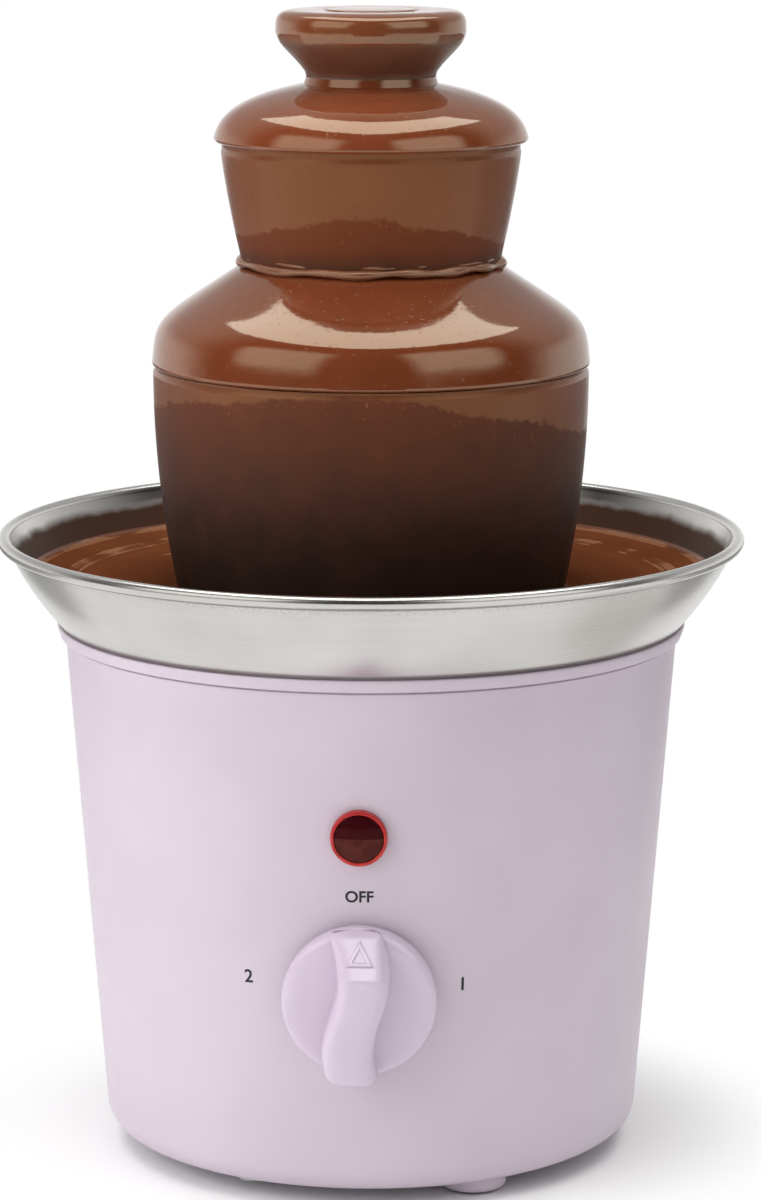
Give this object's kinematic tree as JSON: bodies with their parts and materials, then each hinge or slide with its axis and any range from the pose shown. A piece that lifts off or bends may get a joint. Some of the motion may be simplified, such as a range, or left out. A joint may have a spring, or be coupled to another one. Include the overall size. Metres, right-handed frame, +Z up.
{
  "type": "chocolate fountain",
  "caption": "Tabletop chocolate fountain: heated steel bowl on a tapered lilac base with rotary switch and lamp, and a lift-off tiered tower fed by a motor-driven screw.",
  "frame": {"origin": "on the table under the middle of the base, at the level of the foot pads", "axes": "+Z up along the spindle, the knob and lamp face -Y, +X to the right as seen from the front"},
  "size_m": [0.191, 0.191, 0.2925],
  "materials": {
    "lilac_plastic": "satin moulded plastic",
    "bowl_steel": "polished and brushed stainless sheet",
    "zinc_steel": "bright zinc",
    "dark_steel": "dull sheet and sheath steel",
    "heater_aluminium": "mill finish",
    "brass": "turned",
    "ivory_plastic": "moulded",
    "chocolate": "glossy liquid milk chocolate",
    "rubber": "moulded",
    "dark_plastic": "moulded",
    "magnet": "sintered ferrite",
    "copper": "enamelled winding",
    "lens_red": "clear red lens",
    "bulb_glass": "clear"
  },
  "bodies": {
    "base": {"housing": "lilac_plastic", "base_plate": "lilac_plastic", "feet": "lilac_plastic", "bowl": "bowl_steel", "post_screws": "zinc_steel", "bowl_studs": "zinc_steel", "locating_pins": "zinc_steel", "standoffs": "zinc_steel", "standoff_screws": "zinc_steel", "gearbox_lid": "zinc_steel", "gearbox_screws": "zinc_steel", "idler_pin": "zinc_steel", "motor_can": "zinc_steel", "switch_screws": "zinc_steel", "motor_bracket": "dark_steel", "gearbox_case": "dark_steel", "heating_element": "dark_steel", "thermostat": "dark_steel", "heater_plate": "heater_aluminium", "spindle_hub": "brass", "hub_nut": "brass", "spindle_bush": "brass", "rotor_bushes": "brass", "switch_terminals": "brass", "switch_body": "ivory_plastic", "lamp_holder": "ivory_plastic", "terminal_block": "ivory_plastic", "thermal_fuse": "ivory_plastic", "chocolate_pool": "chocolate", "foot_pads": "rubber", "bowl_gasket": "rubber", "hub_washer": "rubber", "shaft_seal": "rubber", "cord_gland": "rubber", "gland_nut": "rubber", "switch_cover": "dark_plastic", "internal_leads": "dark_plastic", "stator_coil": "copper", "lamp_lens": "lens_red", "neon_bulb": "bulb_glass"},
    "drive": {"drive_spindle": "zinc_steel", "output_gear": "ivory_plastic", "thrust_collar": "zinc_steel"},
    "idler": {"idler_gear": "ivory_plastic"},
    "rotor": {"rotor_shaft": "zinc_steel", "rotor_magnet": "magnet", "rotor_pinion": "brass"},
    "auger": {"auger_core": "ivory_plastic", "auger_flight": "ivory_plastic", "chocolate_well": "chocolate"},
    "tower": {"tower_tube": "ivory_plastic", "lower_tier": "ivory_plastic", "upper_tier": "ivory_plastic", "crown_dish": "ivory_plastic", "lower_chocolate": "chocolate", "upper_chocolate": "chocolate", "crown_chocolate": "chocolate"},
    "knob": {"control_knob": "lilac_plastic", "switch_shaft": "ivory_plastic", "switch_cam": "dark_plastic"}
  },
  "joints": [
    {"name": "spindle_turn", "type": "hinge", "parent": "base", "child": "drive", "pos_m": [0, 0, 0.09], "axis": [0, 0, 1], "continuous": true},
    {"name": "idler_turn", "type": "hinge", "parent": "base", "child": "idler", "pos_m": [0.011, 0.01905, 0.08], "axis": [0, 0, 1], "continuous": true},
    {"name": "rotor_turn", "type": "hinge", "parent": "base", "child": "rotor", "pos_m": [0, 0, 0.05], "axis": [0, 0, 1], "continuous": true},
    {"name": "auger_lift", "type": "slide", "parent": "drive", "child": "auger", "axis": [0, 0, 1], "range_m": [0, 0.2]},
    {"name": "tower_lift", "type": "slide", "parent": "base", "child": "tower", "axis": [0, 0, 1], "range_m": [0, 0.2]},
    {"name": "knob_turn", "type": "hinge", "parent": "base", "child": "knob", "pos_m": [0, -0.07258, 0.0563], "axis": [0, -0.997, -0.0768], "range_deg": [-90, 90]}
  ],
  "couplings": [
    {"joint": "idler_turn", "follows": "spindle_turn", "ratio": -2.0556},
    {"joint": "rotor_turn", "follows": "spindle_turn", "ratio": 5.4815}
  ]
}
